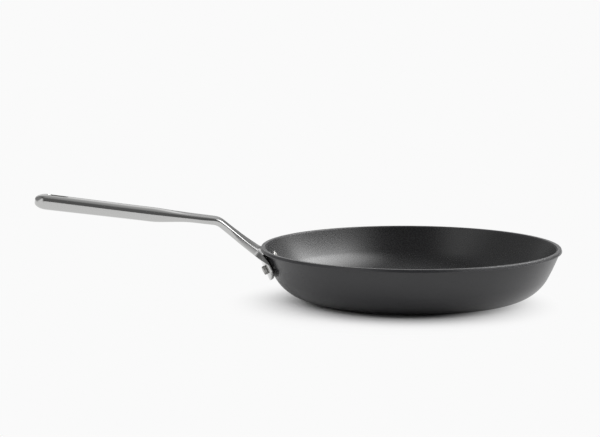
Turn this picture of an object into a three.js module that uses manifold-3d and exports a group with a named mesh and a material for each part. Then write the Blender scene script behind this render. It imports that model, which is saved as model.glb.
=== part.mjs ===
// A non-stick frying pan: a drawn aluminium body with a coated inside, a steel plate pressed into its base,
// and a cast steel handle that two rivets hold on the wall.
// Millimetres, +Z up. The origin is the centre of the base, and the handle runs along -X.
import * as THREE from 'three';
import { mergeVertices } from 'three/addons/utils/BufferGeometryUtils.js';
import Module from 'manifold-3d';

const degrees = THREE.MathUtils.degToRad;
const smoothstep = THREE.MathUtils.smoothstep;
const lerp = THREE.MathUtils.lerp;

// Pan body
const rimRadius = 150;
const panDepth = 50.5;
const wallLean = degrees(20.7); // from the vertical, at the lip's foot
const wallBend = 240; // radius of the wall's curve, on the outside
const wallThickness = 3.4; // square to the wall
const floorThickness = 4.2;
const baseCornerRadius = 42; // on the outside, between base and wall
const lipReach = 2.4; // how far the lip stands out past the wall
const lipHeight = 3.2;
const lipRound = 0.8;

// Non-stick coating, drawn thicker than the real film so that it is a solid
const coatingThickness = 0.3;
const coatingGap = 0.05;
const coatingTopDrop = 1.6; // from the rim down to the coating's edge

// Steel plate in the base
const plateRadius = 82;
const plateThickness = 1;
const plateSideGap = 0.3;
const plateTopGap = 0.05;
const plateRound = 0.3;

// Handle, along its middle line from the tip to the foot of the flange
const gripLength = 182.7; // tip to the elbow's corner
const gripSlope = degrees(7.05);
const elbowRadius = 16;
const neckLength = 52.4; // elbow's corner to the root's corner
const neckSlope = degrees(38.9);
const rootRadius = 22;
const flangeLength = 26.8; // root's corner to the flange's lowest point
const flangeShoulder = 11; // root's corner to where the flange begins to round off

// Handle, across
const gripHalfWidth = 12.5;
const neckHalfWidth = 11;
const rootHalfWidth = 22.5;
const flangeHalfWidth = 47;
const gripEndThickness = 15.4; // at the tip, before its rounded end
const gripThickness = 14.1; // where the grip begins to thin
const elbowThickness = 7.3;
const neckThickness = 6.2;
const flangeThickness = 3;
const spreadAbove = 5; // from the root's corner up the neck, where the flange begins to spread
const spreadBelow = 4; // from the root's corner down the wall, where it has its full width
const flangeAirGap = 2.5; // between the wall and the back of the flange
const gripCorner = 4.6;
const neckCorner = 2.4;
const flangeCorner = 1;
const gripCrown = 1.2; // how much the grip's top and bottom are crowned
const tipRoundAlong = 11; // length of the rounded end, seen from above
const tipRoundUp = 12.5; // length of the rounded end, seen from the side
const tipThickness = 3.5;
const bellyStart = 67; // from the elbow's corner, where the grip begins to thin
const bellyEnd = 24;
const elbowBlend = 16; // on both sides of the elbow's corner, where the handle thins to the neck
const bellyDrop = 1.5; // how far the grip's middle hangs below the line of the neck
const flareShape = 1.8; // the higher, the later the neck widens

// Hanging slot
const slotLength = 21;
const slotWidth = 8;
const slotInset = 11.5; // from the tip to the slot

// Rivets
const rivetSpacing = 60;
const rivetHeight = 34.4; // on the wall's outside
const rivetDrop = 11.6; // from the root's corner, down the flange
const shankRadius = 2.8;
const shankClearance = 0.3;
const outerHeadRadius = 4.4;
const outerHeadHeight = 2.9;
const innerHeadRadius = 5.2;
const innerHeadHeight = 1.9;
const headRound = 0.5;
const outerSeatGap = 0.3;
const innerSeatGap = 0.4;
const bossRadius = 6.5; // pad behind the flange that rests on the wall
const bossSeatGap = 0.3;
const bossBite = 0.8; // how far the pad runs into the flange

// Facets
const panSegments = 60;
const cornerSteps = 9;
const wallSteps = 5;
const roundSteps = 3;
const rivetSegments = 24;
const acrossSteps = 10;
const ringCornerSteps = 4;
const slotSteps = 8;
const endSteps = 7; // rings in each rounded end of the handle
const endStart = 0.6; // share of the first of them that is left off at the very end
const gripSteps = 6;
const bellySteps = 8;
const elbowSteps = 6;
const neckSteps = 6;
const spreadSteps = 7;
const shoulderSteps = 3;
const weldDistance = 1e-4; // points closer than this are one
const leastBend = 1e-3; // keeps the bend's radius finite where the handle is straight

const wasm = await Module();
wasm.setup();

// A closed mesh with shared vertices, no collapsed triangles and its faces pointing out
function closedGeometry(geometry) {
  const bare = geometry.clone();
  bare.deleteAttribute('normal');
  bare.deleteAttribute('uv');
  const merged = mergeVertices(bare, weldDistance);
  const position = merged.attributes.position;
  const index = merged.index.array;
  const kept = [];
  let volume = 0;
  const a = new THREE.Vector3();
  const b = new THREE.Vector3();
  const c = new THREE.Vector3();
  for (let i = 0; i < index.length; i += 3) {
    const [p, q, r] = index.slice(i, i + 3);
    if (p === q || q === r || r === p) continue;
    a.fromBufferAttribute(position, p);
    b.fromBufferAttribute(position, q);
    c.fromBufferAttribute(position, r);
    volume += a.dot(b.cross(c));
    kept.push([p, q, r]);
  }
  const facing = volume < 0 ? kept.map(([p, q, r]) => [p, r, q]) : kept;
  merged.setIndex(facing.flat());
  return merged;
}

function toSolid(geometry) {
  const closed = closedGeometry(geometry);
  const vertProperties = new Float32Array(closed.attributes.position.array);
  const triVerts = new Uint32Array(closed.index.array);
  return new wasm.Manifold(new wasm.Mesh({ numProp: 3, vertProperties, triVerts }));
}

function toGeometry(solid) {
  const mesh = solid.getMesh();
  const geometry = new THREE.BufferGeometry();
  geometry.setAttribute('position', new THREE.BufferAttribute(mesh.vertProperties, 3));
  geometry.setIndex(new THREE.BufferAttribute(mesh.triVerts, 1));
  return geometry;
}

function point(x, y) {
  return new THREE.Vector2(x, y);
}

// The arc that rounds a corner between two straight lines
function cornerArc(before, corner, after, radius) {
  const back = before.clone().sub(corner).normalize();
  const on = after.clone().sub(corner).normalize();
  const half = Math.acos(back.dot(on)) / 2;
  const middle = back.clone().add(on).normalize();
  const centre = corner.clone().addScaledVector(middle, radius / Math.sin(half));
  const start = corner.clone().addScaledVector(back, radius / Math.tan(half));
  const end = corner.clone().addScaledVector(on, radius / Math.tan(half));
  const leftTurn = back.cross(on) < 0;
  return { centre, start, end, turn: (leftTurn ? 1 : -1) * (Math.PI - 2 * half) };
}

// Points on an arc that starts at a point and turns about a centre
function arcPoints(start, centre, turn, steps) {
  return Array.from({ length: steps + 1 }, (_, i) => start.clone().rotateAround(centre, (turn * i) / steps));
}

function cornerPoints(before, corner, after, radius, steps) {
  const arc = cornerArc(before, corner, after, radius);
  return arcPoints(arc.start, arc.centre, arc.turn, steps);
}

// An outline turned about Z, given as points of radius and height
function revolve(outline, segments) {
  return new THREE.LatheGeometry(outline, segments).rotateX(Math.PI / 2);
}

// Centre of the wall's curve, in the plane of radius and height
const wallCentre = point(
  rimRadius - lipReach - wallBend * Math.cos(wallLean),
  panDepth - lipHeight + wallBend * Math.sin(wallLean),
);

// The wall's lean from the vertical at a height, on a curve at a depth inside its outer face
function leanAt(height, wallDepth) {
  return Math.asin((wallCentre.y - height) / (wallBend - wallDepth));
}

function wallRadius(height, wallDepth) {
  return wallCentre.x + (wallBend - wallDepth) * Math.cos(leanAt(height, wallDepth));
}

// The bowl from the axis up to a height, at a depth inside the wall's outer face
function bowlLine(wallDepth, floorHeight, topHeight, cornerRadius) {
  const cornerHeight = floorHeight + cornerRadius;
  const join = leanAt(cornerHeight, wallDepth + cornerRadius);
  const corner = point(wallRadius(cornerHeight, wallDepth + cornerRadius), cornerHeight);
  const foot = point(corner.x, floorHeight);
  const curve = arcPoints(foot, corner, Math.PI / 2 - join, cornerSteps);
  const wall = arcPoints(curve.pop(), wallCentre, join - leanAt(topHeight, wallDepth), wallSteps);
  return [point(0, floorHeight), ...curve, ...wall];
}

function panBody(rivetSeats) {
  const rim = panDepth;
  const lipFoot = panDepth - lipHeight;
  const innerTop = point(wallRadius(rim, wallThickness), rim);
  const rimTop = point(rimRadius, rim);
  const rimFoot = point(rimRadius, lipFoot);
  const inside = bowlLine(wallThickness, floorThickness, rim, baseCornerRadius - wallThickness);
  const outside = bowlLine(0, 0, lipFoot, baseCornerRadius).reverse();
  const recessRadius = plateRadius + plateSideGap;
  const recessDepth = plateThickness + plateTopGap;
  const outline = [
    ...inside.slice(0, -1),
    ...cornerPoints(inside.at(-2), innerTop, rimTop, lipRound, roundSteps),
    ...cornerPoints(innerTop, rimTop, rimFoot, lipRound, roundSteps),
    ...cornerPoints(rimTop, rimFoot, outside[0], lipRound, roundSteps),
    ...outside.slice(0, -1),
    point(recessRadius, 0),
    point(recessRadius, recessDepth),
    point(0, recessDepth),
  ];
  return boreForRivets(revolve(outline, panSegments), rivetSeats);
}

function nonstickCoating(rivetSeats) {
  const top = panDepth - coatingTopDrop;
  const underDepth = wallThickness + coatingGap;
  const faceDepth = underDepth + coatingThickness;
  const under = bowlLine(underDepth, floorThickness + coatingGap, top, baseCornerRadius - underDepth);
  const faceFloor = floorThickness + coatingGap + coatingThickness;
  const face = bowlLine(faceDepth, faceFloor, top, baseCornerRadius - faceDepth);
  return boreForRivets(revolve([...under, ...face.reverse()], panSegments), rivetSeats);
}

function basePlate() {
  const top = point(plateRadius, plateThickness);
  const foot = point(plateRadius, 0);
  const outline = [
    point(0, plateThickness),
    ...cornerPoints(point(0, plateThickness), top, foot, plateRound, roundSteps),
    ...cornerPoints(top, foot, point(0, 0), plateRound, roundSteps),
    point(0, 0),
  ];
  return revolve(outline, panSegments);
}

// The handle's middle line in the plane of radius and height, and the lengths that mark its stretches
function handleLine() {
  const flangeOffset = flangeAirGap + flangeThickness / 2;
  const lean = leanAt(rivetHeight, 0);
  const downWall = point(-Math.sin(lean), -Math.cos(lean));
  const offWall = point(Math.cos(lean), -Math.sin(lean));
  const root = point(wallRadius(rivetHeight, 0), rivetHeight);
  root.addScaledVector(offWall, flangeOffset).addScaledVector(downWall, -rivetDrop);
  const neck = point(Math.cos(neckSlope), Math.sin(neckSlope));
  const elbow = root.clone().addScaledVector(neck, neckLength);
  const grip = point(Math.cos(gripSlope), Math.sin(gripSlope));
  const tip = elbow.clone().addScaledVector(grip, gripLength);
  const foot = root.clone().addScaledVector(downWall, flangeLength);
  const elbowArc = cornerArc(tip, elbow, root, elbowRadius);
  const rootArc = cornerArc(elbow, root, foot, rootRadius);
  const path = new THREE.Path();
  path.moveTo(tip.x, tip.y);
  for (const [arc, radius] of [[elbowArc, elbowRadius], [rootArc, rootRadius]]) {
    const from = arc.start.clone().sub(arc.centre).angle();
    path.lineTo(arc.start.x, arc.start.y);
    path.absarc(arc.centre.x, arc.centre.y, radius, from, from + arc.turn, arc.turn < 0);
  }
  path.lineTo(foot.x, foot.y);
  const length = path.getLength();
  const elbowAt = tip.distanceTo(elbowArc.start) + (elbowRadius * Math.abs(elbowArc.turn)) / 2;
  const rootAt = length - foot.distanceTo(rootArc.end) - (rootRadius * Math.abs(rootArc.turn)) / 2;
  return { path, length, elbowAt, rootAt };
}

// Half of an ellipse's width at a share of its length from the end
function roundedEnd(share) {
  const left = 1 - THREE.MathUtils.clamp(share, 0, 1);
  return Math.sqrt(1 - left * left);
}

// Sizes of the handle's cross-section at a length along its middle line
function handleSection(line, along) {
  const fromElbow = along - line.elbowAt;
  const fromRoot = along - line.rootAt;
  const neckSpan = line.rootAt - line.elbowAt;
  const roundFrom = line.rootAt + flangeShoulder;
  const narrow = lerp(gripHalfWidth, neckHalfWidth, smoothstep(fromElbow, -bellyStart, 0));
  const flare = THREE.MathUtils.clamp(fromElbow / neckSpan, 0, 1) ** flareShape;
  const flared = lerp(narrow, rootHalfWidth, flare);
  const spread = smoothstep(fromRoot, -spreadAbove, spreadBelow);
  const tipRound = roundedEnd(along / tipRoundAlong);
  const footRound = roundedEnd((line.length - along) / (line.length - roundFrom));
  const halfWidth = lerp(flared, flangeHalfWidth, spread) * tipRound * footRound;

  const thinning = smoothstep(fromElbow, -bellyStart, -bellyEnd);
  const taper = smoothstep(along, 0, line.elbowAt - bellyStart);
  const grip = lerp(gripEndThickness, gripThickness, taper);
  const gripToElbow = lerp(grip, elbowThickness, thinning);
  const elbowToNeck = lerp(gripToElbow, neckThickness, smoothstep(fromElbow, -elbowBlend, elbowBlend));
  const neckToFlange = lerp(elbowToNeck, flangeThickness, spread);
  const tipShare = roundedEnd(along / tipRoundUp);
  const halfThickness = Math.min(neckToFlange, lerp(tipThickness, grip, tipShare)) / 2;

  const neckRound = lerp(gripCorner, neckCorner, thinning);
  const round = lerp(neckRound, flangeCorner, smoothstep(fromRoot, -neckLength / 2, 0));
  const crown = gripCrown * (1 - thinning) * tipRound;
  const corner = Math.min(round, halfThickness - crown, halfWidth / 2);
  const bend = smoothstep(fromRoot, -neckLength / 2, 0);
  const drop = bellyDrop * (1 - thinning);
  return { halfWidth, halfThickness, corner, crown, bend, drop };
}

// Cross-section outline, as points across the handle and up from its middle line
function sectionOutline({ halfWidth, halfThickness, corner, crown, drop }) {
  const flat = halfWidth - corner;
  const edge = halfThickness - crown;
  const half = [];
  for (let i = 0; i < acrossSteps; i += 1) {
    const share = 1 - (2 * i) / acrossSteps;
    half.push(point(flat * share, edge + crown * (1 - share * share)));
  }
  for (let i = 0; i <= ringCornerSteps; i += 1) {
    const angle = (Math.PI / 2) * (1 + i / ringCornerSteps);
    half.push(point(corner * Math.cos(angle) - flat, corner * Math.sin(angle) + edge - corner));
  }
  for (let i = 0; i < ringCornerSteps; i += 1) {
    const angle = (Math.PI / 2) * (2 + i / ringCornerSteps);
    half.push(point(corner * Math.cos(angle) - flat, corner * Math.sin(angle) - edge + corner));
  }
  const whole = [...half, ...half.map((spot) => spot.clone().negate())];
  return whole.map((spot) => spot.setY(spot.y - drop));
}

// One ring of the handle's skin: the section stands square to the middle line and bends round the pan
function handleRing(line, along) {
  const section = handleSection(line, along);
  const middle = line.path.getPointAt(along / line.length);
  const tangent = line.path.getTangentAt(along / line.length);
  const up = point(tangent.y, -tangent.x);
  const bendRadius = middle.x / Math.max(section.bend, leastBend);
  return sectionOutline(section).map((spot) => {
    const outward = bendRadius + spot.y * up.x;
    const angle = spot.x / bendRadius;
    const radial = middle.x - bendRadius + outward * Math.cos(angle);
    return new THREE.Vector3(-radial, outward * Math.sin(angle), middle.y + spot.y * up.y);
  });
}

// Evenly spread lengths, without the last
function spread(from, to, count) {
  return Array.from({ length: count }, (_, i) => lerp(from, to, i / count));
}

// Lengths along the middle line where a ring is made, closer together where the form turns
function handleStations(line) {
  const { elbowAt, rootAt, length } = line;
  const roundFrom = rootAt + flangeShoulder;
  const elbowHalf = (elbowRadius * (neckSlope - gripSlope)) / 2;
  const ends = Array.from({ length: endSteps }, (_, i) => {
    return 1 - Math.cos((Math.PI / 2) * ((i + endStart) / endSteps));
  });
  const tip = ends.map((share) => tipRoundAlong * share);
  const foot = ends.map((share) => lerp(length, roundFrom, share));
  return [
    ...tip,
    ...spread(tipRoundAlong, elbowAt - bellyStart, gripSteps),
    ...spread(elbowAt - bellyStart, elbowAt - elbowHalf, bellySteps),
    ...spread(elbowAt - elbowHalf, elbowAt + elbowHalf, elbowSteps),
    ...spread(elbowAt + elbowHalf, rootAt - spreadAbove, neckSteps),
    ...spread(rootAt - spreadAbove, rootAt + spreadBelow, spreadSteps),
    ...spread(rootAt + spreadBelow, roundFrom, shoulderSteps),
    ...foot.reverse(),
  ];
}

// A skin through rings of equally many points, closed by a fan at each end
function loft(rings) {
  const count = rings[0].length;
  const positions = rings.flat().flatMap((spot) => spot.toArray());
  const index = [];
  for (let ring = 0; ring + 1 < rings.length; ring += 1) {
    for (let i = 0; i < count; i += 1) {
      const a = ring * count + i;
      const b = ring * count + ((i + 1) % count);
      index.push(a, b, a + count, b, b + count, a + count);
    }
  }
  for (const [ring, flip] of [[0, true], [rings.length - 1, false]]) {
    const hub = positions.length / 3;
    const middle = rings[ring].reduce((sum, spot) => sum.add(spot), new THREE.Vector3());
    positions.push(...middle.divideScalar(count).toArray());
    for (let i = 0; i < count; i += 1) {
      const a = ring * count + i;
      const b = ring * count + ((i + 1) % count);
      index.push(...(flip ? [hub, b, a] : [hub, a, b]));
    }
  }
  const geometry = new THREE.BufferGeometry();
  geometry.setAttribute('position', new THREE.Float32BufferAttribute(positions, 3));
  geometry.setIndex(index);
  return geometry;
}

// The frame of a rivet: its origin on the wall's outside, its Z axis square to the wall and pointing out
function rivetSeat(side) {
  const radius = wallRadius(rivetHeight, 0);
  const lean = leanAt(rivetHeight, 0);
  const azimuth = Math.asin(rivetSpacing / 2 / radius);
  const outward = new THREE.Vector3(-Math.cos(azimuth), side * Math.sin(azimuth), 0);
  const origin = outward.clone().multiplyScalar(radius).setZ(rivetHeight);
  const axis = outward.clone().multiplyScalar(Math.cos(lean)).setZ(-Math.sin(lean));
  const level = new THREE.Vector3(0, 0, 1).cross(outward);
  const frame = new THREE.Matrix4().makeBasis(level, axis.clone().cross(level), axis);
  return frame.setPosition(origin);
}

// A round bar along a rivet's axis
function seatBar(seat, radius, from, to) {
  const bar = new THREE.CylinderGeometry(radius, radius, to - from, rivetSegments).rotateX(Math.PI / 2);
  return toSolid(bar.translate(0, 0, (from + to) / 2).applyMatrix4(seat));
}

// The rivets' holes through a piece, from inside the pan to past the flange
function boreForRivets(geometry, rivetSeats) {
  const inside = -(wallThickness + innerHeadHeight) * 2;
  const outside = (flangeAirGap + flangeThickness) * 2;
  const bores = rivetSeats.map((seat) => seatBar(seat, shankRadius + shankClearance, inside, outside));
  return toGeometry(bores.reduce((solid, bore) => solid.subtract(bore), toSolid(geometry)));
}

// The hanging slot's cutter, square to the grip
function slotCutter(line) {
  const half = slotWidth / 2;
  const straight = slotLength / 2 - half;
  const outline = new THREE.Shape();
  outline.absarc(straight, 0, half, -Math.PI / 2, Math.PI / 2);
  outline.absarc(-straight, 0, half, Math.PI / 2, (3 * Math.PI) / 2);
  const depth = gripThickness * 2;
  const cutter = new THREE.ExtrudeGeometry(outline, { depth, bevelEnabled: false, curveSegments: slotSteps });
  const share = (slotInset + slotLength / 2) / line.length;
  const middle = line.path.getPointAt(share);
  const tangent = line.path.getTangentAt(share);
  const inward = new THREE.Vector3(-tangent.x, 0, tangent.y);
  const up = new THREE.Vector3(-tangent.y, 0, -tangent.x);
  const frame = new THREE.Matrix4().makeBasis(inward, up.clone().cross(inward), up);
  frame.setPosition(-middle.x, 0, middle.y);
  return toSolid(cutter.translate(0, 0, -depth / 2).applyMatrix4(frame));
}

function handle(line, rivetSeats) {
  const rings = handleStations(line).map((along) => handleRing(line, along));
  const pads = rivetSeats.map((seat) => seatBar(seat, bossRadius, bossSeatGap, flangeAirGap + bossBite));
  const padded = pads.reduce((solid, pad) => solid.add(pad), toSolid(loft(rings)));
  return boreForRivets(toGeometry(padded.subtract(slotCutter(line))), rivetSeats);
}

// One rivet in its seat's frame: a flat head outside, a wider head inside and the shank between them
function rivet() {
  const outerFoot = flangeAirGap + flangeThickness + outerSeatGap;
  const outerTop = outerFoot + outerHeadHeight;
  const innerFoot = -(wallThickness + coatingGap + coatingThickness + innerSeatGap);
  const innerTop = innerFoot - innerHeadHeight;
  const outerEdge = point(outerHeadRadius, outerTop);
  const innerEdge = point(innerHeadRadius, innerTop);
  const outline = [
    point(0, innerTop),
    ...cornerPoints(point(0, innerTop), innerEdge, point(innerHeadRadius, innerFoot), headRound, roundSteps),
    point(innerHeadRadius, innerFoot),
    point(shankRadius, innerFoot),
    point(shankRadius, outerFoot),
    point(outerHeadRadius, outerFoot),
    ...cornerPoints(point(outerHeadRadius, outerFoot), outerEdge, point(0, outerTop), headRound, roundSteps),
    point(0, outerTop),
  ];
  return revolve(outline, rivetSegments);
}

const anodised = new THREE.MeshStandardMaterial({ color: 0x3b3b3d, roughness: 0.45, metalness: 0.6 });
const coating = new THREE.MeshStandardMaterial({ color: 0x343435, roughness: 0.35, metalness: 0 });
const plateSteel = new THREE.MeshStandardMaterial({ color: 0x9c9b98, roughness: 0.4, metalness: 1 });
const polishedSteel = new THREE.MeshStandardMaterial({ color: 0xc9c8c5, roughness: 0.15, metalness: 1 });
const rivetSteel = new THREE.MeshStandardMaterial({ color: 0xb4b3b0, roughness: 0.3, metalness: 1 });

function part(name, geometry, material) {
  const mesh = new THREE.Mesh(closedGeometry(geometry), material);
  mesh.name = name;
  return mesh;
}

const line = handleLine();
const rivetSides = { near: -1, far: 1 };
const rivetSeats = Object.values(rivetSides).map((side) => rivetSeat(side));

const pan = new THREE.Group();
pan.add(part('pan_body', panBody(rivetSeats), anodised));
pan.add(part('nonstick_coating', nonstickCoating(rivetSeats), coating));
pan.add(part('base_plate', basePlate(), plateSteel));
pan.add(part('handle', handle(line, rivetSeats), polishedSteel));
Object.keys(rivetSides).forEach((side, i) => {
  const mesh = part(`rivet_${side}`, rivet(), rivetSteel);
  mesh.applyMatrix4(rivetSeats[i]);
  pan.add(mesh);
});

export default pan;
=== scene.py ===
# A non-stick frying pan, dressed over its CAD frame. Metres, with the base's centre at the origin
# and the handle along -X. Sizes are written in millimetres, and mm turns them into metres.
import math

import bmesh
import bpy
from mathutils import Matrix, Quaternion, Vector


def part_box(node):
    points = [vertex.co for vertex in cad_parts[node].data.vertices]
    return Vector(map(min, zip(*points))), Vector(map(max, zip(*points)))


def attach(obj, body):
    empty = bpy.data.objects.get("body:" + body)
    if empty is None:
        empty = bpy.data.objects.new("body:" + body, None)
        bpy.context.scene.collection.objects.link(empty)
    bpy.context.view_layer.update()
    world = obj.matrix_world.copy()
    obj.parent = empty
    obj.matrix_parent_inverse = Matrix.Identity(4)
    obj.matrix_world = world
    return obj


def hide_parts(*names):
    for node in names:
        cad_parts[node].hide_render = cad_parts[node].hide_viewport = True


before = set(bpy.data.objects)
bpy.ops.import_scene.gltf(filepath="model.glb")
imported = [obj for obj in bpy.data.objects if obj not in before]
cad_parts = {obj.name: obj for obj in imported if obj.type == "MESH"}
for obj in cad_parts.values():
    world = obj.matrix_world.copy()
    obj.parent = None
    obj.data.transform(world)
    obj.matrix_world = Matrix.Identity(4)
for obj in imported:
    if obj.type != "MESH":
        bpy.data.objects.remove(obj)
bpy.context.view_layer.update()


# Pan body: a bowl drawn from aluminium sheet, with a flared wall and a lip that stands out all round.
# Its outside is hard anodised, which turns the skin of the metal into a dark grey oxide.
mm = 0.001
body_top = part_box("pan_body")[1]
rim_radius = body_top.x / mm
pan_depth = body_top.z / mm
wall_lean = math.radians(20.7)  # from the vertical, at the lip's foot
wall_bend = 240  # radius of the wall's arc
wall_thickness = 3.4
floor_thickness = 4.2
base_corner = 42  # radius of the bend from the base into the wall
lip_reach = 2.4
lip_height = 3.2
lip_lean = 1.2  # how far the lip's face leans in at its top
lip_round = 0.8
lip_foot_round = 0.6
recess_radius = 82.3
recess_depth = 1.05
turn_steps = 192
corner_steps = 40
wall_steps = 16
round_steps = 6
flat_share = 0.98  # the last ring on the flat floor, as a share of its radius
crease = math.radians(35)
weld_gap = 1e-7  # in metres
nearly_nothing = 1e-6


def spot(x, y):
    return Vector((x, y))


def arc(start, centre, turn, steps):
    return [centre + Matrix.Rotation(turn * i / steps, 2) @ (start - centre) for i in range(steps + 1)]


def rounded(before, at, after, radius, steps):
    """The arc that rounds a corner between two straight lines, from the first line to the second."""
    back = (before - at).normalized()
    on = (after - at).normalized()
    half = back.angle(on) / 2
    centre = at + (back + on).normalized() * (radius / math.sin(half))
    start = at + back * (radius / math.tan(half))
    turn = math.copysign(math.pi - 2 * half, back.y * on.x - back.x * on.y)
    return arc(start, centre, turn, steps)


def skin(name, vertices, faces):
    """A smooth closed mesh from points in mm, with its faces pointing out and its real creases kept."""
    mesh = bpy.data.meshes.new(name)
    mesh.from_pydata([Vector(vertex) * mm for vertex in vertices], [], faces)
    work = bmesh.new()
    work.from_mesh(mesh)
    bmesh.ops.remove_doubles(work, verts=work.verts, dist=weld_gap)
    bmesh.ops.recalc_face_normals(work, faces=work.faces)
    work.to_mesh(mesh)
    work.free()
    mesh.shade_smooth()
    mesh.set_sharp_from_angle(angle=crease)
    return mesh


def turned(name, outline, steps):
    """A mesh turned about Z from points of radius and height, which start and end on the axis."""
    vertices = []
    rings = []
    for place in outline:
        on_axis = place.x < nearly_nothing
        ring = []
        for i in range(1 if on_axis else steps):
            angle = math.tau * i / steps
            ring.append(len(vertices))
            vertices.append((place.x * math.cos(angle), place.x * math.sin(angle), place.y))
        rings.append(ring * steps if on_axis else ring)
    faces = []
    for low, high in zip(rings, rings[1:]):
        for i in range(steps):
            j = (i + 1) % steps
            faces.append(tuple(dict.fromkeys((low[i], low[j], high[j], high[i]))))
    return skin(name, vertices, faces)


lip_foot = pan_depth - lip_height
wall_centre = spot(rim_radius - lip_reach - wall_bend * math.cos(wall_lean),
                   lip_foot + wall_bend * math.sin(wall_lean))


def lean_at(height, depth):
    """The wall's lean from the vertical at a height, on a curve at a depth inside its outer face."""
    return math.asin((wall_centre.y - height) / (wall_bend - depth))


def wall_radius(height, depth):
    return wall_centre.x + (wall_bend - depth) * math.cos(lean_at(height, depth))


def bowl_line(depth, floor, top, corner):
    """The bowl from the axis up to a height, at a depth inside the wall's outer face."""
    corner_height = floor + corner
    join = lean_at(corner_height, depth + corner)
    corner_centre = spot(wall_radius(corner_height, depth + corner), corner_height)
    start = spot(corner_centre.x, floor)
    curve = arc(start, corner_centre, math.pi / 2 - join, corner_steps)
    wall = arc(curve.pop(), wall_centre, join - lean_at(top, depth), wall_steps)
    return [spot(0, floor), spot(start.x * flat_share, floor), *curve, *wall]


def linear(hex_colour):
    """An sRGB hex colour as linear red, green, blue and alpha."""
    shares = [int(hex_colour[i:i + 2], 16) / 255 for i in (1, 3, 5)]
    return (*((s / 12.92 if s < 0.04045 else ((s + 0.055) / 1.055) ** 2.4) for s in shares), 1)


def node(tree, kind, links, **settings):
    """Adds a shader node with its settings, and sets or links its inputs."""
    made = tree.nodes.new(kind)
    for name, value in settings.items():
        setattr(made, name, value)
    for name, value in links.items():
        if isinstance(value, bpy.types.NodeSocket):
            tree.links.new(value, made.inputs[name])
        else:
            made.inputs[name].default_value = value
    return made


def dress(tree, shade, gloss, relief):
    """Links a material's shader to its colour, roughness and bump."""
    shader = tree.nodes["Principled BSDF"]
    tree.links.new(shade.outputs["Color"], shader.inputs["Base Color"])
    tree.links.new(gloss.outputs["Result"], shader.inputs["Roughness"])
    tree.links.new(relief.outputs["Normal"], shader.inputs["Normal"])
    return shader


def put(name, mesh, material):
    """Puts an object with a mesh and a material into the scene."""
    made = bpy.data.objects.new(name, mesh)
    made.data.materials.append(material)
    bpy.context.collection.objects.link(made)
    return made


body_inside = bowl_line(wall_thickness, floor_thickness, pan_depth, base_corner - wall_thickness)
body_outside = bowl_line(0, 0, lip_foot, base_corner)[::-1]
inner_top = body_inside[-1]
rim_top = spot(rim_radius - lip_lean, pan_depth)
rim_foot = spot(rim_radius, lip_foot)
body_mesh = turned("pan_body_skin", [
    *body_inside[:-1],
    *rounded(body_inside[-2], inner_top, rim_top, lip_round, round_steps),
    *rounded(inner_top, rim_top, rim_foot, lip_round, round_steps),
    *rounded(rim_top, rim_foot, body_outside[0], lip_foot_round, round_steps),
    *body_outside[:-2],
    spot(recess_radius, 0),
    spot(recess_radius, recess_depth),
    spot(0, recess_depth),
], turn_steps)

# Hard-anodised aluminium: a dense, matte oxide. It gives a soft sheen that brightens at a glancing
# angle, over a fine etched grain and faint cloudy changes of grey.
anodised = bpy.data.materials.new("hard_anodised_aluminium")
anodised.use_nodes = True
tree = anodised.node_tree
etched_grain = 0.9 * mm  # really about 0.05 mm, drawn coarser so that it shows
cloud_width = 28 * mm
place = node(tree, "ShaderNodeTexCoord", {})
grain = node(tree, "ShaderNodeTexNoise", {"Vector": place.outputs["Object"], "Scale": 1 / etched_grain,
                                          "Detail": 3.0})
cloud = node(tree, "ShaderNodeTexNoise", {"Vector": place.outputs["Object"], "Scale": 1 / cloud_width,
                                          "Detail": 4.0})
shade = node(tree, "ShaderNodeMixRGB", {"Fac": cloud.outputs["Fac"], "Color1": linear("#29292b"),
                                        "Color2": linear("#2f2f31")})
gloss = node(tree, "ShaderNodeMapRange", {"Value": grain.outputs["Fac"], "To Min": 0.25, "To Max": 0.33})
relief = node(tree, "ShaderNodeBump", {"Height": grain.outputs["Fac"], "Distance": 0.02 * mm,
                                       "Strength": 0.5})
dress(tree, shade, gloss, relief)

body = put("anodised_body", body_mesh, anodised)
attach(body, "root")
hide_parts("pan_body")


# Non-stick coating: layers of a PTFE film, sprayed on the inside of the bowl and baked.
# It ends just under the rim, where the metal's edge is bare.
coating_thickness = 0.3
coating_gap = 0.05
bare_edge = 1.6
coating_top = pan_depth - bare_edge
under_depth = wall_thickness + coating_gap
face_depth = under_depth + coating_thickness
under_floor = floor_thickness + coating_gap
face_floor = under_floor + coating_thickness
coating_under = bowl_line(under_depth, under_floor, coating_top, base_corner - under_depth)
coating_face = bowl_line(face_depth, face_floor, coating_top, base_corner - face_depth)
coating_mesh = turned("coating_skin", [*coating_under, *reversed(coating_face)], turn_steps)

# Baked PTFE film: charcoal, with the fine pebble of a sprayed coat and tiny mineral flecks.
# It gives a broad soft highlight that breaks up into grain.
coating = bpy.data.materials.new("baked_ptfe_film")
coating.use_nodes = True
tree = coating.node_tree
spray_grain = 1.3 * mm  # really about 0.2 mm, drawn coarser so that it shows
fleck_width = 1.1 * mm
fleck_share = 0.07
place = node(tree, "ShaderNodeTexCoord", {})
pebble = node(tree, "ShaderNodeTexNoise", {"Vector": place.outputs["Object"], "Scale": 1 / spray_grain,
                                           "Detail": 2.0})
fleck = node(tree, "ShaderNodeTexVoronoi", {"Vector": place.outputs["Object"], "Scale": 1 / fleck_width})
bright = node(tree, "ShaderNodeSeparateColor", {"Color": fleck.outputs["Color"]})
share = node(tree, "ShaderNodeMapRange", {"Value": bright.outputs["Red"], "From Min": 1 - fleck_share,
                                          "From Max": 1.0})
shade = node(tree, "ShaderNodeMixRGB", {"Fac": share.outputs["Result"], "Color1": linear("#212122"),
                                        "Color2": linear("#2a2a2c")})
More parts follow.
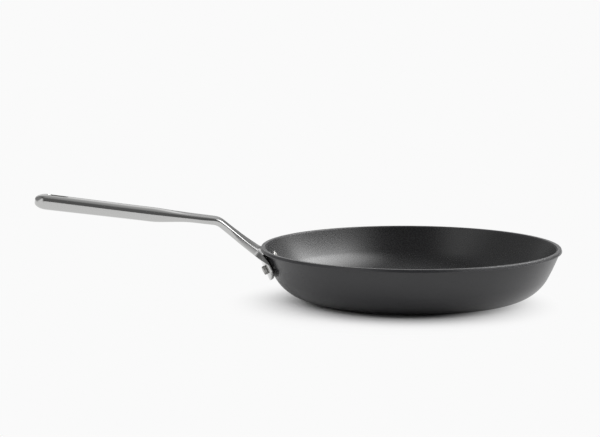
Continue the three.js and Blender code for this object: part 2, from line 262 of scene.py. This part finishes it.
gloss = node(tree, "ShaderNodeMapRange", {"Value": pebble.outputs["Fac"], "To Min": 0.19, "To Max": 0.36})
relief = node(tree, "ShaderNodeBump", {"Height": pebble.outputs["Fac"], "Distance": 0.08 * mm,
                                       "Strength": 0.3})
shader = dress(tree, shade, gloss, relief)
shader.inputs["Specular IOR Level"].default_value = 0.55

film = put("nonstick_film", coating_mesh, coating)
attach(film, "root")
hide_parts("nonstick_coating")


# Base plate: a disc of magnetic steel, pressed into the underside so that the pan works on induction.
# Its face is turned on a lathe, which leaves fine rings.
plate_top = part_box("base_plate")[1]
plate_radius = plate_top.x / mm
plate_thickness = plate_top.z / mm
plate_round = 0.3
plate_edge = spot(plate_radius, plate_thickness)
plate_foot = spot(plate_radius, 0)
base_centre = spot(0, 0)
plate_mesh = turned("base_plate_skin", [
    spot(0, plate_thickness),
    *rounded(spot(0, plate_thickness), plate_edge, plate_foot, plate_round, round_steps),
    *rounded(plate_edge, plate_foot, base_centre, plate_round, round_steps),
    base_centre,
], turn_steps)

# Turned ferritic steel: a greyer steel than the handle's, with fine lathe rings that draw the light
# into a fan.
turned_steel = bpy.data.materials.new("turned_ferritic_steel")
turned_steel.use_nodes = True
tree = turned_steel.node_tree
ring_pitch = 0.8 * mm
place = node(tree, "ShaderNodeTexCoord", {})
flatten = node(tree, "ShaderNodeVectorMath", {0: place.outputs["Object"], 1: (1, 1, 0)},
               operation="MULTIPLY")
reach = node(tree, "ShaderNodeVectorMath", {0: flatten.outputs["Vector"]}, operation="LENGTH")
rings = node(tree, "ShaderNodeTexNoise", {"W": reach.outputs["Value"], "Scale": 1 / ring_pitch},
             noise_dimensions="1D")
shade = node(tree, "ShaderNodeMixRGB", {"Fac": rings.outputs["Fac"], "Color1": linear("#868685"),
                                        "Color2": linear("#a6a6a4")})
gloss = node(tree, "ShaderNodeMapRange", {"Value": rings.outputs["Fac"], "To Min": 0.28, "To Max": 0.42})
relief = node(tree, "ShaderNodeBump", {"Height": rings.outputs["Fac"], "Distance": 0.03 * mm})
shader = dress(tree, shade, gloss, relief)
shader.inputs["Metallic"].default_value = 1

plate = put("induction_plate", plate_mesh, turned_steel)
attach(plate, "root")
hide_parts("base_plate")


# Handle: one stainless steel casting, polished all over. The grip rises a little towards its tip, bends
# down into a thin neck and spreads into a flange that follows the wall and is riveted to it.
grip_length = 182.7
grip_slope = math.radians(7.05)
elbow_radius = 16
neck_length = 52.4
neck_slope = math.radians(38.9)
root_radius = 22
flange_length = 26.8
flange_shoulder = 11  # from the root down to where the flange's ends begin to round
grip_half_width = 12.5
neck_half_width = 11
root_half_width = 22.5
flange_half_width = 47
grip_end_thickness = 15.3
grip_thickness = 14.1
elbow_thickness = 7.3
neck_thickness = 6.2
flange_thickness = 3
spread_above = 5  # the neck spreads into the flange between these, above and below the root
spread_below = 4
flange_air_gap = 2.5
grip_corner = 4.6
elbow_corner = 3.4
neck_corner = 1.3
neck_undercut = 0.5  # how far the neck's sides lean in towards its underside
flange_corner = 1
foot_edge = 0.4  # share of the thickness that is left at the flange's foot
grip_crown = 1.2
tip_round_along = 11
tip_round_up = 12.5
tip_thickness = 3.5
belly_start = 67  # the grip thins towards the elbow between these, before the elbow
belly_end = 24
belly_drop = 1.5
elbow_blend = 16
flare_shape = 1.8  # power of the neck's widening
slot_length = 21
slot_width = 8
slot_inset = 11.5
slot_round = 0.7
across_steps = 10
edge_steps = 8
slot_edge_steps = 5
bend_steps = 24
boss_steps = 48
lean_passes = 3
boss_radius = 6.5
boss_gap = 0.3
boss_bite = 0.8  # how far a pad goes into the flange
boss_round = 0.4
rivet_spacing = 60
rivet_height = 34.4
rivet_drop = 11.6  # from the root down the flange
tip_gap = 0.1  # from the tip to the first ring of the mesh, and from the last one to the foot
foot_gap = 0.04
least_bend = 1e-3  # keeps the straight grip's bend round the pan finite

flange_offset = flange_air_gap + flange_thickness / 2
flange_lean = lean_at(rivet_height, 0)
off_wall = spot(math.cos(flange_lean), -math.sin(flange_lean))
down_wall = spot(-math.sin(flange_lean), -math.cos(flange_lean))
root = spot(wall_radius(rivet_height, 0), rivet_height) + off_wall * flange_offset - down_wall * rivet_drop
elbow = root + spot(math.cos(neck_slope), math.sin(neck_slope)) * neck_length
tip = elbow + spot(math.cos(grip_slope), math.sin(grip_slope)) * grip_length
foot = root + down_wall * flange_length
handle_line = [
    tip,
    *rounded(tip, elbow, root, elbow_radius, bend_steps),
    *rounded(elbow, root, foot, root_radius, bend_steps),
    foot,
]
line_marks = [0.0]
for start, end in zip(handle_line, handle_line[1:]):
    line_marks.append(line_marks[-1] + (end - start).length)
line_length = line_marks[-1]
elbow_at = line_marks[1 + bend_steps // 2]
root_at = line_marks[2 + bend_steps + bend_steps // 2]
round_from = root_at + flange_shoulder


def lerp(start, end, share):
    return start + (end - start) * share


def clamp(value):
    return min(1.0, max(0.0, value))


def ease(value, start, end):
    share = clamp((value - start) / (end - start))
    return share * share * (3 - 2 * share)


def rounded_end(share):
    """Half the width of an ellipse at a share of its length from the end."""
    return math.sqrt(1 - (1 - clamp(share)) ** 2)


def on_line(along):
    """The middle line's place and its smooth direction, at a length from the tip."""
    last = len(line_marks) - 2
    index = min(last, max(i for i in range(len(line_marks)) if line_marks[i] <= along))
    share = (along - line_marks[index]) / (line_marks[index + 1] - line_marks[index])
    runs = [handle_line[i + 1] - handle_line[i] for i in range(last + 1)]
    here = runs[index].normalized()
    before = runs[max(0, index - 1)].normalized()
    after = runs[min(last, index + 1)].normalized()
    start = (before + here).normalized()
    end = (here + after).normalized()
    return handle_line[index].lerp(handle_line[index + 1], share), start.lerp(end, share).normalized()


def pan_bend(along):
    """How far the section is bent round the pan: not at all in the grip, fully in the flange."""
    return ease(along, root_at - neck_length / 2, root_at)


def handle_section(along):
    """Half width, half thickness, corner, crown, drop and undercut at a length from the tip."""
    from_elbow = along - elbow_at
    from_root = along - root_at
    neck_span = root_at - elbow_at
    narrow = lerp(grip_half_width, neck_half_width, ease(from_elbow, -belly_start, 0))
    flared = lerp(narrow, root_half_width, clamp(from_elbow / neck_span) ** flare_shape)
    spread = ease(from_root, -spread_above, spread_below)
    tip_round = rounded_end(along / tip_round_along)
    foot_round = rounded_end((line_length - along) / (line_length - round_from))
    half_width = lerp(flared, flange_half_width, spread) * tip_round * foot_round
    thinning = ease(from_elbow, -belly_start, -belly_end)
    grip = lerp(grip_end_thickness, grip_thickness, ease(along, 0, elbow_at - belly_start))
    to_elbow = lerp(grip, elbow_thickness, thinning)
    in_neck = ease(from_elbow, -elbow_blend, elbow_blend)
    to_neck = lerp(to_elbow, neck_thickness, in_neck)
    to_flange = lerp(to_neck, flange_thickness, spread)
    tip_share = rounded_end(along / tip_round_up)
    foot_share = rounded_end((line_length - along) / flange_corner)
    thickness = min(to_flange, lerp(tip_thickness, grip, tip_share)) * lerp(foot_edge, 1, foot_share)
    half_thickness = thickness / 2
    bar_edge = lerp(lerp(grip_corner, elbow_corner, thinning), neck_corner, in_neck)
    edge = lerp(bar_edge, flange_corner, pan_bend(along))
    crown = grip_crown * (1 - thinning) * tip_round
    corner = min(edge, half_thickness - crown, half_width / 2)
    undercut = neck_undercut * in_neck * (1 - spread)
    return half_width, half_thickness, corner, crown, belly_drop * (1 - thinning), undercut


slot_half = slot_width / 2
slot_end = slot_inset + slot_length


def past_slot(along):
    """How far a length from the tip is beyond the straight sides of the hanging slot."""
    return max(slot_inset + slot_half - along, along - slot_end + slot_half, 0)


def slot_distance(along, across):
    """How far a place on the grip is from the slot's edge; less than nothing inside it."""
    return math.hypot(past_slot(along), across) - slot_half


def slot_half_width(along):
    """Half the slot's width at a length from the tip, or nothing beyond its ends."""
    return math.sqrt(max(slot_half ** 2 - past_slot(along) ** 2, 0))


def even(start, end, count):
    return [lerp(start, end, i / count) for i in range(count)]


def towards(start, end, count):
    """Lengths from start to end, closest together at the start."""
    return [lerp(start, end, 1 - math.cos(math.pi / 2 * i / count)) for i in range(count)]


def half_outline(along):
    """One side of the section, from the middle of its top round its edge to the middle of its bottom."""
    half_width, half_thickness, corner, crown, drop, undercut = handle_section(along)
    edge = half_thickness - crown
    flat = half_width - corner
    for _ in range(lean_passes):
        lean = math.atan(2 * crown / max(flat, nearly_nothing))
        flat = half_width - corner + corner * math.sin(lean)
    inner = slot_half_width(along)
    lip = min(slot_round, (flat - inner) / 2)
    across = towards(inner, inner + lip, slot_edge_steps) + even(inner + lip, flat, across_steps)
    top = []
    for y in across:
        short = max(slot_round - max(slot_distance(along, y), 0), 0)
        dip = slot_round - math.sqrt(slot_round ** 2 - short ** 2)
        top.append(spot(y, edge + crown * (1 - (y / flat) ** 2) - dip))
    middle = spot(flat - corner * math.sin(lean), edge - corner * math.cos(lean))
    for i in range(edge_steps + 1):
        angle = (math.pi / 2 - lean) * (1 - i / edge_steps)
        top.append(middle + spot(math.cos(angle), math.sin(angle)) * corner)
    bottom = [spot(place.x, -place.y) for place in reversed(top)]
    narrowing = undercut / (2 * half_thickness * half_width)
    return [spot(place.x * (1 - narrowing * (half_thickness - place.y)), place.y - drop)
            for place in top + bottom]


def in_place(along, section_spot, side):
    """A place on the section, set square to the middle line and bent round the pan."""
    middle, tangent = on_line(along)
    up = spot(tangent.y, -tangent.x)
    bend_radius = middle.x / max(pan_bend(along), least_bend)
    outward = bend_radius + section_spot.y * up.x
    angle = side * section_spot.x / bend_radius
    radial = middle.x - bend_radius + outward * math.cos(angle)
    return (-radial, outward * math.sin(angle), middle.y + section_spot.y * up.y)


elbow_half = elbow_radius * (neck_slope - grip_slope) / 2
# Each row is a stretch of the handle and the number of rings that draw it.
stations = sorted({round(along, 3) for along in [
    *towards(tip_gap, slot_inset - slot_round, 26),
    *even(slot_inset - slot_round, slot_inset, 5),
    *towards(slot_inset, slot_inset + slot_half, 10),
    *even(slot_inset + slot_half, slot_end - slot_half, 8),
    *towards(slot_end, slot_end - slot_half, 10),
    *even(slot_end, slot_end + slot_round, 5),
    *even(slot_end + slot_round, elbow_at - belly_start, 24),
    *even(elbow_at - belly_start, elbow_at - elbow_half, 30),
    *even(elbow_at - elbow_half, elbow_at + elbow_half, 20),
    *even(elbow_at + elbow_half, root_at - spread_above, 24),
    *even(root_at - spread_above, root_at + spread_below, 28),
    *even(root_at + spread_below, round_from, 8),
    *towards(line_length - foot_gap, round_from, 30),
]})

handle_vertices = []
handle_faces = []
for side in (1, -1):
    first = len(handle_vertices)
    outlines = [half_outline(along) for along in stations]
    count = len(outlines[0])
    for along, outline in zip(stations, outlines):
        handle_vertices += [in_place(along, place, side) for place in outline]
    for ring in range(len(stations) - 1):
        start = first + ring * count
        for i in range(count - 1):
            handle_faces.append((start + i, start + i + 1, start + count + i + 1, start + count + i))
        if max(slot_half_width(stations[ring]), slot_half_width(stations[ring + 1])) > 0:
            handle_faces.append((start, start + count, start + 2 * count - 1, start + count - 1))
    for ring in (0, len(stations) - 1):
        start = first + ring * count
        handle_faces += [(start + i, start + i + 1, start + count - 2 - i, start + count - 1 - i)
                         for i in range(count // 2 - 1)]
handle_mesh = skin("handle_skin", handle_vertices, handle_faces)


def rivet_seat(side):
    """A rivet's frame: its origin on the wall's outside and its Z axis square to the wall, pointing out."""
    radius = wall_radius(rivet_height, 0)
    azimuth = math.asin(rivet_spacing / 2 / radius)
    outward = Vector((-math.cos(azimuth), side * math.sin(azimuth), 0))
    axis = outward * math.cos(flange_lean) - Vector((0, 0, math.sin(flange_lean)))
    level = Vector((0, 0, 1)).cross(outward)
    seat = Matrix((level, axis.cross(level), axis)).transposed().to_4x4()
    seat.translation = (outward * radius + Vector((0, 0, rivet_height))) * mm
    return seat


boss_top = flange_air_gap + boss_bite
boss_edge = spot(boss_radius, boss_gap)
with_bosses = bmesh.new()
with_bosses.from_mesh(handle_mesh)
for side in (-1, 1):
    boss = turned("boss_skin", [
        spot(0, boss_gap),
        *rounded(spot(0, boss_gap), boss_edge, spot(boss_radius, boss_top), boss_round, round_steps),
        spot(boss_radius, boss_top),
        spot(0, boss_top),
    ], boss_steps)
    boss.transform(rivet_seat(side))
    with_bosses.from_mesh(boss)
    bpy.data.meshes.remove(boss)
with_bosses.to_mesh(handle_mesh)
with_bosses.free()

# Polished stainless steel: a near mirror, softened by faint polishing lines along the grip.
# It shows the pale floor, the dark side of the room and the pan as clear bands.
polished = bpy.data.materials.new("polished_stainless_steel")
polished.use_nodes = True
tree = polished.node_tree
line_run = 30 * mm
line_width = 0.7 * mm  # really about 0.02 mm, drawn coarser so that it shows
smear_width = 14 * mm
place = node(tree, "ShaderNodeTexCoord", {})
stretch = node(tree, "ShaderNodeMapping", {"Vector": place.outputs["Object"],
                                           "Scale": (1 / line_run, 1 / line_width, 1 / line_width)})
lines = node(tree, "ShaderNodeTexNoise", {"Vector": stretch.outputs["Vector"], "Scale": 1.0, "Detail": 3.0})
smear = node(tree, "ShaderNodeTexNoise", {"Vector": place.outputs["Object"], "Scale": 1 / smear_width})
mixed = node(tree, "ShaderNodeMath", {0: lines.outputs["Fac"], 1: smear.outputs["Fac"]},
             operation="MULTIPLY")
shade = node(tree, "ShaderNodeMixRGB", {"Fac": lines.outputs["Fac"], "Color1": linear("#bcbcbb"),
                                        "Color2": linear("#c5c5c4")})
gloss = node(tree, "ShaderNodeMapRange", {"Value": mixed.outputs["Value"], "From Max": 0.5,
                                          "To Min": 0.07, "To Max": 0.16})
relief = node(tree, "ShaderNodeBump", {"Height": lines.outputs["Fac"], "Distance": 0.006 * mm})
shader = dress(tree, shade, gloss, relief)
shader.inputs["Metallic"].default_value = 1

handle = put("steel_handle", handle_mesh, polished)
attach(handle, "root")
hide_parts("handle")


# Rivets: two solid steel pins with a flat head outside and a wider, lower head inside the bowl.
# They go through the flange, its pads and the wall, and hold the handle for good.
shank_radius = 2.8
outer_head_radius = 4.4
outer_head_height = 2.9
inner_head_radius = 5.2
inner_head_height = 1.9
outer_round = 0.7
inner_round = 0.9
outer_seat_gap = 0.3
inner_seat_gap = 0.4
rivet_steps = 64
outer_foot = flange_air_gap + flange_thickness + outer_seat_gap
outer_top = outer_foot + outer_head_height
inner_foot = -(face_depth + inner_seat_gap)
inner_end = inner_foot - inner_head_height
outer_edge = spot(outer_head_radius, outer_top)
inner_edge = spot(inner_head_radius, inner_end)
outer_rim = spot(outer_head_radius, outer_foot)
inner_rim = spot(inner_head_radius, inner_foot)
rivet_outline = [
    spot(0, inner_end),
    *rounded(spot(0, inner_end), inner_edge, inner_rim, inner_round, round_steps),
    inner_rim,
    spot(shank_radius, inner_foot),
    spot(shank_radius, outer_foot),
    outer_rim,
    *rounded(outer_rim, outer_edge, spot(0, outer_top), outer_round, round_steps),
    spot(0, outer_top),
]

# Satin rivet steel: duller than the handle, from the blow that closed the rivet, with small pits.
# It gives an even pale grey with no clear reflection.
rivet_steel = bpy.data.materials.new("satin_rivet_steel")
rivet_steel.use_nodes = True
tree = rivet_steel.node_tree
pit_width = 0.5 * mm
place = node(tree, "ShaderNodeTexCoord", {})
pits = node(tree, "ShaderNodeTexNoise", {"Vector": place.outputs["Object"], "Scale": 1 / pit_width,
                                         "Detail": 3.0})
shade = node(tree, "ShaderNodeMixRGB", {"Fac": pits.outputs["Fac"], "Color1": linear("#b6b5b3"),
                                        "Color2": linear("#c6c5c2")})
gloss = node(tree, "ShaderNodeMapRange", {"Value": pits.outputs["Fac"], "To Min": 0.44, "To Max": 0.58})
relief = node(tree, "ShaderNodeBump", {"Height": pits.outputs["Fac"], "Distance": 0.004 * mm})
shader = dress(tree, shade, gloss, relief)
shader.inputs["Metallic"].default_value = 1

for side_name, side in (("near", -1), ("far", 1)):
    rivet_mesh = turned(f"rivet_{side_name}_skin", rivet_outline, rivet_steps)
    rivet_mesh.transform(rivet_seat(side))
    rivet = put(f"steel_rivet_{side_name}", rivet_mesh, rivet_steel)
    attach(rivet, "root")
    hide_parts(f"rivet_{side_name}")


# Floor: a wide sheet of white board that the pan stands on. It keeps the shadow near the pan and goes over
# into plain white ground further out, a little later where it shows in gloss. It is clear from below and
# where the base touches it, so that the base can be looked at.
floor_half = 9000
floor_drop = 0.05
ground_white = 0.956
shade_centre = Vector((-22, -43, 0)) * mm
shade_reach = 69 * mm
ground_start = 167 * mm
mirrored_centre = Vector((-42, -22, 0)) * mm
mirrored_reach = 110 * mm
mirrored_start = 182 * mm
touch_gap = 0.2 * mm

# Matt white board: an even pale face without gloss, so that only the shadow shows on it.
ground = bpy.data.materials.new("white_board")
ground.use_nodes = True
tree = ground.node_tree
seen = node(tree, "ShaderNodeLightPath", {})
direct = node(tree, "ShaderNodeMath", {0: seen.outputs["Is Camera Ray"],
                                       1: seen.outputs["Is Transmission Ray"]}, operation="MAXIMUM")
place = node(tree, "ShaderNodeTexCoord", {})
away = node(tree, "ShaderNodeVectorMath", {0: place.outputs["Object"], 1: shade_centre},
            operation="DISTANCE")
open_ground = node(tree, "ShaderNodeMapRange", {"Value": away.outputs["Value"], "From Min": shade_reach,
                                                "From Max": ground_start}, interpolation_type="SMOOTHSTEP")
aside = node(tree, "ShaderNodeVectorMath", {0: place.outputs["Object"], 1: mirrored_centre},
             operation="DISTANCE")
mirrored_ground = node(tree, "ShaderNodeMapRange", {"Value": aside.outputs["Value"],
                                                    "From Min": mirrored_reach, "From Max": mirrored_start},
                       interpolation_type="SMOOTHSTEP")
in_view = node(tree, "ShaderNodeMath", {0: direct.outputs["Value"], 1: open_ground.outputs["Result"]},
               operation="MULTIPLY")
in_gloss = node(tree, "ShaderNodeMath", {0: seen.outputs["Is Glossy Ray"],
                                         1: mirrored_ground.outputs["Result"]}, operation="MULTIPLY")
plain = node(tree, "ShaderNodeMath", {0: in_view.outputs["Value"], 1: in_gloss.outputs["Value"]},
             operation="MAXIMUM")
shader = tree.nodes["Principled BSDF"]
shader.inputs["Base Color"].default_value = linear("#f4f4f4")
shader.inputs["Roughness"].default_value = 1
shader.inputs["Specular IOR Level"].default_value = 0
white = node(tree, "ShaderNodeEmission", {"Color": (1, 1, 1, 1), "Strength": ground_white})
board = node(tree, "ShaderNodeMixShader", {0: plain.outputs["Value"], 1: shader.outputs["BSDF"],
                                           2: white.outputs["Emission"]})
sides = node(tree, "ShaderNodeNewGeometry", {})
touching = node(tree, "ShaderNodeMath", {0: seen.outputs["Ray Length"], 1: touch_gap},
                operation="LESS_THAN")
clear_share = node(tree, "ShaderNodeMath", {0: sides.outputs["Backfacing"], 1: touching.outputs["Value"]},
                   operation="MAXIMUM")
clear = node(tree, "ShaderNodeBsdfTransparent", {})
both = node(tree, "ShaderNodeMixShader", {0: clear_share.outputs["Value"], 1: board.outputs["Shader"],
                                          2: clear.outputs["BSDF"]})
tree.links.new(both.outputs["Shader"], tree.nodes["Material Output"].inputs["Surface"])

corners = [(-1, -1), (1, -1), (1, 1), (-1, 1)]
floor_mesh = bpy.data.meshes.new("floor")
floor_mesh.from_pydata([Vector((x * floor_half, y * floor_half, -floor_drop)) * mm for x, y in corners], [],
                       [(0, 1, 2, 3)])
floor = put("floor", floor_mesh, ground)


# Studio light: a white room that is dark behind the camera, and dimmer on the left and low at the back.
# Three wide lamps, above, on the right and on the left, light the surfaces and don't show in gloss. A big
# softbox on the right shows in gloss only.
fill_level = 0.3
front_dark = 0.15
back_grey = 0.5
left_dim = 0.33
foot_dim = 0.2
softbox_level = 10
softbox_foot = Vector((-0.44, 0.36, 0.82))  # square to the plane through the softbox's lower edge
dim_azimuth = -115
dim_elevation = 38


def way_to(azimuth, elevation):
    """The way to a light, by its turn from the camera's side towards +X and its rise above the floor."""
    turn = math.radians(azimuth)
    rise = math.radians(elevation)
    return Vector((math.sin(turn) * math.cos(rise), -math.cos(turn) * math.cos(rise), math.sin(rise)))


studio = bpy.data.worlds.new("studio")
bpy.context.scene.world = studio
studio.use_nodes = True
tree = studio.node_tree
seen = node(tree, "ShaderNodeLightPath", {})
way = node(tree, "ShaderNodeTexCoord", {})
part = node(tree, "ShaderNodeSeparateXYZ", {"Vector": way.outputs["Generated"]})
aside = node(tree, "ShaderNodeMath", {0: part.outputs["X"]}, operation="ABSOLUTE")
to_left = node(tree, "ShaderNodeVectorMath", {0: way.outputs["Generated"],
                                              1: way_to(dim_azimuth, dim_elevation)},
               operation="DOT_PRODUCT")
over_foot = node(tree, "ShaderNodeVectorMath", {0: way.outputs["Generated"], 1: softbox_foot},
                 operation="DOT_PRODUCT")
fall = node(tree, "ShaderNodeMapRange", {"Value": part.outputs["X"], "From Min": 0.22, "From Max": 0.9,
                                         "To Max": softbox_level})
level = node(tree, "ShaderNodeMix", {0: seen.outputs["Is Glossy Ray"], 2: fill_level, 3: ground_white})
levels = {"softbox_fall": fall.outputs["Result"], "room_level": level.outputs[0],
          "in_gloss": seen.outputs["Is Glossy Ray"]}

# Each row fades smoothly along one direction: from, to, and the level at either end.
for name, along, start, end, start_level, end_level in (
    ("back_half", part.outputs["Y"], -0.5, 0.5, front_dark, back_grey),
    ("back_wall", part.outputs["Y"], 0.72, 0.97, front_dark, 1),
    ("side_walls", aside.outputs["Value"], 0.3, 0.62, front_dark, 1),
    ("above_foot", part.outputs["Z"], 0.02, 0.3, foot_dim, 1),
    ("off_back", part.outputs["Y"], 0.4, 0.85, 1, foot_dim),
    ("off_left", to_left.outputs["Value"], 0.65, 0.92, 1, left_dim),
    ("below", part.outputs["Z"], -0.15, -0.03, 1, 0),
    ("softbox_near", part.outputs["Y"], -0.6, -0.25, 0, 1),
    ("softbox_far", part.outputs["Y"], 0.28, 0.58, 1, 0),
    ("softbox_edge", over_foot.outputs["Value"], 0, 0.06, 0, 1),
):
    faded = node(tree, "ShaderNodeMapRange", {"Value": along, "From Min": start, "From Max": end,
                                              "To Min": start_level, "To Max": end_level},
                 interpolation_type="SMOOTHSTEP")
    levels[name] = faded.outputs["Result"]

# Each row joins two levels into a new one.
for name, operation, first, second in (
    ("back", "MAXIMUM", "back_half", "back_wall"),
    ("walls", "MAXIMUM", "side_walls", "back"),
    ("back_foot", "MAXIMUM", "above_foot", "off_back"),
    ("dim", "MULTIPLY", "off_left", "back_foot"),
    ("above", "MULTIPLY", "walls", "dim"),
    ("room", "MAXIMUM", "above", "below"),
    ("softbox_sides", "MULTIPLY", "softbox_near", "softbox_far"),
    ("softbox_face", "MULTIPLY", "softbox_edge", "softbox_fall"),
    ("softbox", "MULTIPLY", "softbox_face", "softbox_sides"),
    ("lit", "MULTIPLY", "room", "room_level"),
    ("glint", "MULTIPLY", "softbox", "in_gloss"),
    ("whole", "ADD", "lit", "glint"),
):
    levels[name] = node(tree, "ShaderNodeMath", {0: levels[first], 1: levels[second]},
                        operation=operation).outputs["Value"]
direct = node(tree, "ShaderNodeMath", {0: seen.outputs["Is Camera Ray"],
                                       1: seen.outputs["Is Transmission Ray"]}, operation="MAXIMUM")
shown = node(tree, "ShaderNodeMix", {0: direct.outputs["Value"], 2: levels["whole"], 3: ground_white})
air = tree.nodes["Background"]
air.inputs["Color"].default_value = (1, 1, 1, 1)
tree.links.new(shown.outputs[0], air.inputs["Strength"])

# Each row is a lamp: its turn, its rise and its spread in degrees, and its strength.
for lamp_name, azimuth, elevation, spread_angle, strength in (
    ("top_light", 20, 80, 80, 1.1),
    ("key_light", 90, 40, 60, 0.8),
    ("left_light", -110, 40, 60, 1.9),
):
    lamp_data = bpy.data.lights.new(lamp_name, "SUN")
    lamp_data.energy = strength
    lamp_data.angle = math.radians(spread_angle)
    lamp = bpy.data.objects.new(lamp_name, lamp_data)
    bpy.context.collection.objects.link(lamp)
    lamp.rotation_mode = "QUATERNION"
    lamp.rotation_quaternion = way_to(azimuth, elevation).to_track_quat("Z", "Y")
    lamp.visible_glossy = False


# Camera: a long lens a little above the rim, square to the handle's side of the pan.
camera_place = Vector((-140.65, -1774.98, 315.05)) * mm
camera_aim = Vector((-110.18, 8.98, 77.2)) * mm
camera_roll = math.radians(-0.033)
camera_data = bpy.data.cameras.new("camera")
camera_data.sensor_width = 36
camera_data.sensor_fit = "HORIZONTAL"
camera_data.lens = 108.07
camera = bpy.data.objects.new("camera", camera_data)
bpy.context.collection.objects.link(camera)
camera.location = camera_place
camera.rotation_mode = "QUATERNION"
level_view = (camera_aim - camera_place).to_track_quat("-Z", "Y")
camera.rotation_quaternion = level_view @ Quaternion((0, 0, 1), camera_roll)
bpy.context.scene.camera = camera
bpy.context.scene.view_settings.view_transform = "Standard"
